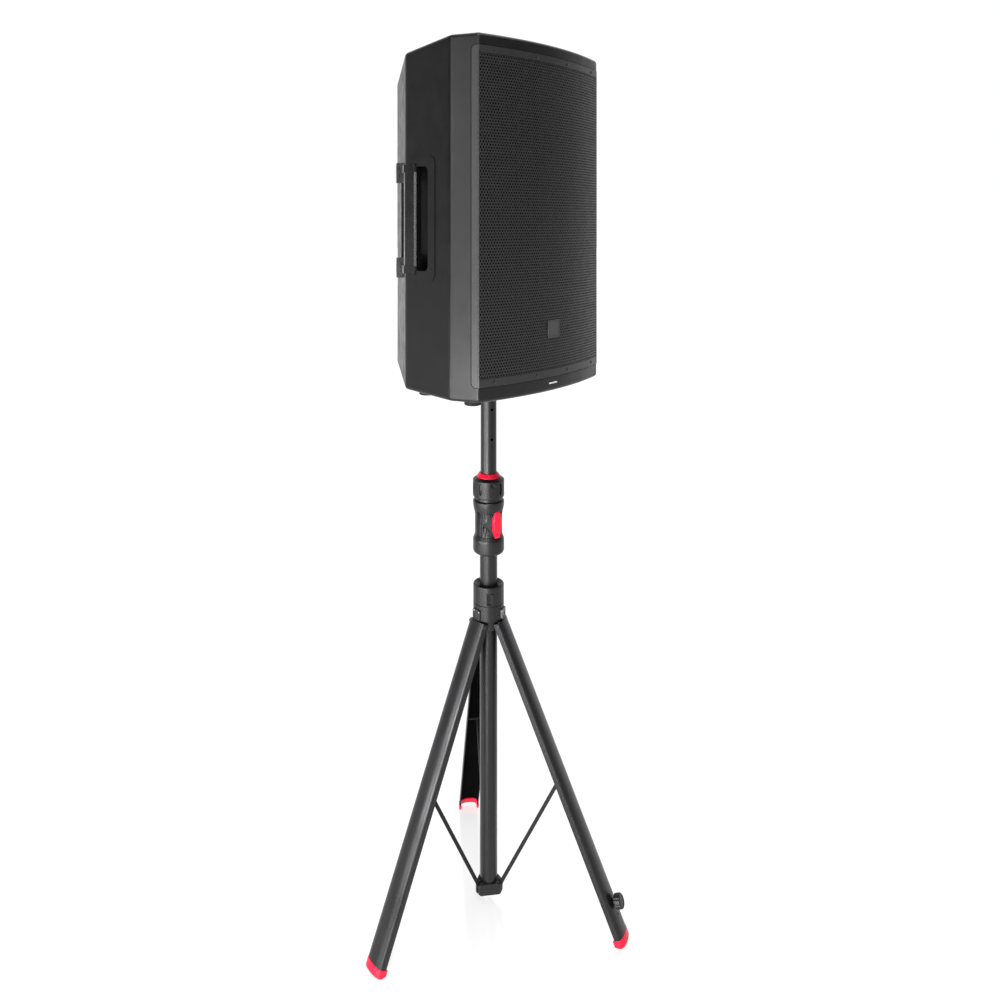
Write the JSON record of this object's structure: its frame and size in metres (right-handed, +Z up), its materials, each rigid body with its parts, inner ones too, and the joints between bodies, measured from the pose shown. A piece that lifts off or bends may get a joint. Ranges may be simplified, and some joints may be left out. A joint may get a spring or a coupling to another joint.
{
  "type": "pa speaker",
  "caption": "Powered two-way loudspeaker with a perforated grille and side handles, swivelling on a push-up tripod stand with a twist clutch and folding braced legs",
  "frame": {"origin": "on the column's axis at floor level, 9 mm under the flat end of the plug beneath the bottom hub", "axes": "+Z up along the column, -Y the way the grille faces, +X to the right seen from behind the grille looking along +Y"},
  "size_m": [0.5225, 0.5381, 1.84],
  "materials": {
    "cabinet_plastic": "textured moulded black",
    "grille_steel": "black powder coat",
    "foam": "open-cell acoustic foam",
    "rubber": "matte",
    "stand_paint": "satin dark grey",
    "stand_plastic": "fine-grained black",
    "red_plastic": "crimson",
    "alloy": "cast",
    "iron": "ferrite and steel",
    "steel": "zinc plated",
    "cone_paper": "pulp cone",
    "board": "circuit board",
    "light": "clear light guide"
  },
  "bodies": {
    "stand": {"column_tube": "stand_paint", "base_hub": "stand_plastic", "grip_body": "stand_plastic", "clutch_collet": "stand_plastic"},
    "trigger": {"grip_trigger": "red_plastic"},
    "clutch": {"clutch_collar": "stand_plastic", "clutch_ring": "red_plastic"},
    "mast": {"mast_tube": "stand_paint", "mast_piston": "stand_plastic"},
    "swivel": {"pole_cap": "stand_plastic"},
    "speaker": {"pole_socket": "cabinet_plastic", "rear_shell": "cabinet_plastic", "front_bezel": "cabinet_plastic", "grille": "grille_steel", "grille_foam": "foam", "badge_plate": "stand_plastic", "status_light": "light", "handle_right": "cabinet_plastic", "handle_left": "cabinet_plastic", "foot_front_left": "rubber", "foot_front_right": "rubber", "foot_rear_left": "rubber", "foot_rear_right": "rubber", "woofer_basket": "grille_steel", "woofer_magnet": "iron", "woofer_surround": "rubber", "woofer_spider": "foam", "horn": "cabinet_plastic", "compression_driver": "alloy", "amp_panel": "grille_steel", "heat_sink": "alloy", "amp_board": "board", "power_supply": "board", "input_jack_1": "stand_plastic", "input_jack_2": "stand_plastic", "output_jack": "stand_plastic", "power_inlet": "stand_plastic"},
    "cone": {"woofer_cone": "cone_paper"},
    "gain_1": {"gain_knob_1": "stand_plastic"},
    "gain_2": {"gain_knob_2": "stand_plastic"},
    "volume": {"volume_knob": "stand_plastic"},
    "button": {"mode_button": "stand_plastic"},
    "rocker": {"power_rocker": "stand_plastic"},
    "collar": {"collar_top": "stand_plastic", "collar_bottom": "stand_plastic", "leg_pin_1": "steel", "leg_pin_2": "steel", "leg_pin_3": "steel"},
    "latch": {"collar_latch": "stand_plastic"},
    "leg_a": {"leg_1": "stand_paint", "foot_cap_1": "red_plastic"},
    "leg_b": {"leg_2": "stand_paint", "foot_cap_2": "red_plastic"},
    "leg_c": {"leg_3": "stand_paint"},
    "leveller": {"levelling_channel": "stand_paint", "foot_cap_3": "red_plastic"},
    "leveller_knob": {"levelling_knob": "stand_plastic"},
    "brace_a": {"brace_1": "grille_steel"},
    "brace_b": {"brace_2": "grille_steel"},
    "brace_c": {"brace_3": "grille_steel"}
  },
  "joints": [
    {"name": "trigger_press", "type": "slide", "parent": "stand", "child": "trigger", "axis": [0.1564, 0.9877, 0], "range_m": [0, 0.003], "stiffness_N_per_m": 900, "springref_m": -0.001},
    {"name": "clutch_twist", "type": "hinge", "parent": "stand", "child": "clutch", "pos_m": [0, 0, 0.901], "axis": [0, 0, 1], "range_deg": [0, 60]},
    {"name": "mast_slide", "type": "slide", "parent": "stand", "child": "mast", "axis": [0, 0, 1], "range_m": [-0.18, 0.4]},
    {"name": "speaker_swivel", "type": "hinge", "parent": "mast", "child": "swivel", "pos_m": [0, 0, 1.2], "axis": [0, 0, 1], "continuous": true},
    {"name": "speaker_lift", "type": "slide", "parent": "swivel", "child": "speaker", "axis": [0, 0, 1], "range_m": [0, 0.12]},
    {"name": "cone_travel", "type": "slide", "parent": "speaker", "child": "cone", "axis": [0, 1, 0], "range_m": [-0.006, 0.006], "stiffness_N_per_m": 2500},
    {"name": "gain_1_turn", "type": "hinge", "parent": "speaker", "child": "gain_1", "pos_m": [-0.048, 0.181, 1.611], "axis": [0, 1, 0], "range_deg": [-150, 150]},
    {"name": "gain_2_turn", "type": "hinge", "parent": "speaker", "child": "gain_2", "pos_m": [-0.01, 0.181, 1.611], "axis": [0, 1, 0], "range_deg": [-150, 150]},
    {"name": "volume_turn", "type": "hinge", "parent": "speaker", "child": "volume", "pos_m": [0.034, 0.181, 1.611], "axis": [0, 1, 0], "range_deg": [-150, 150]},
    {"name": "button_press", "type": "slide", "parent": "speaker", "child": "button", "axis": [0, -1, 0], "range_m": [0, 0.0025], "stiffness_N_per_m": 600, "springref_m": -0.0008},
    {"name": "rocker_tip", "type": "hinge", "parent": "speaker", "child": "rocker", "pos_m": [-0.04, 0.173, 1.483], "axis": [1, 0, 0], "range_deg": [0, 10]},
    {"name": "collar_slide", "type": "slide", "parent": "stand", "child": "collar", "axis": [0, 0, 1], "range_m": [0, 0.05869]},
    {"name": "latch_press", "type": "slide", "parent": "collar", "child": "latch", "axis": [0.6691, 0.7431, 0], "range_m": [0, 0.003], "stiffness_N_per_m": 900, "springref_m": -0.001},
    {"name": "leg_a_fold", "type": "hinge", "parent": "collar", "child": "leg_a", "pos_m": [0.01876, 0.02341, 0.608], "axis": [-0.7804, 0.6252, 0], "range_deg": [0, 23.61]},
    {"name": "leg_b_fold", "type": "hinge", "parent": "collar", "child": "leg_b", "pos_m": [-0.02966, 0.00454, 0.608], "axis": [-0.1513, -0.9885, 0], "range_deg": [0, 23.61]},
    {"name": "leg_c_fold", "type": "hinge", "parent": "collar", "child": "leg_c", "pos_m": [0.0109, -0.02795, 0.608], "axis": [0.9317, 0.3633, 0], "range_deg": [0, 23.61]},
    {"name": "brace_a_fold", "type": "hinge", "parent": "stand", "child": "brace_a", "pos_m": [0.01663, 0.02076, 0.038], "axis": [0.7804, -0.6252, 0], "range_deg": [0, 27.24]},
    {"name": "brace_b_fold", "type": "hinge", "parent": "stand", "child": "brace_b", "pos_m": [-0.02629, 0.00402, 0.038], "axis": [0.1513, 0.9885, 0], "range_deg": [0, 27.24]},
    {"name": "brace_c_fold", "type": "hinge", "parent": "stand", "child": "brace_c", "pos_m": [0.00966, -0.02478, 0.038], "axis": [-0.9317, -0.3633, 0], "range_deg": [0, 27.24]},
    {"name": "leveller_slide", "type": "slide", "parent": "leg_c", "child": "leveller", "axis": [0.1454, -0.373, -0.9164], "range_m": [0, 0.08]},
    {"name": "leveller_knob_turn", "type": "hinge", "parent": "leg_c", "child": "leveller_knob", "pos_m": [0.10307, -0.26435, 0.07719], "axis": [0.3329, -0.8538, 0.4003], "range_deg": [0, 270]}
  ],
  "couplings": [
    {"joint": "leg_a_fold", "follows": "collar_slide", "rad_per_m": 7.018},
    {"joint": "leg_b_fold", "follows": "collar_slide", "rad_per_m": 7.018},
    {"joint": "leg_c_fold", "follows": "collar_slide", "rad_per_m": 7.018},
    {"joint": "brace_a_fold", "follows": "collar_slide", "rad_per_m": 8.0976},
    {"joint": "brace_b_fold", "follows": "collar_slide", "rad_per_m": 8.0976},
    {"joint": "brace_c_fold", "follows": "collar_slide", "rad_per_m": 8.0976}
  ]
}
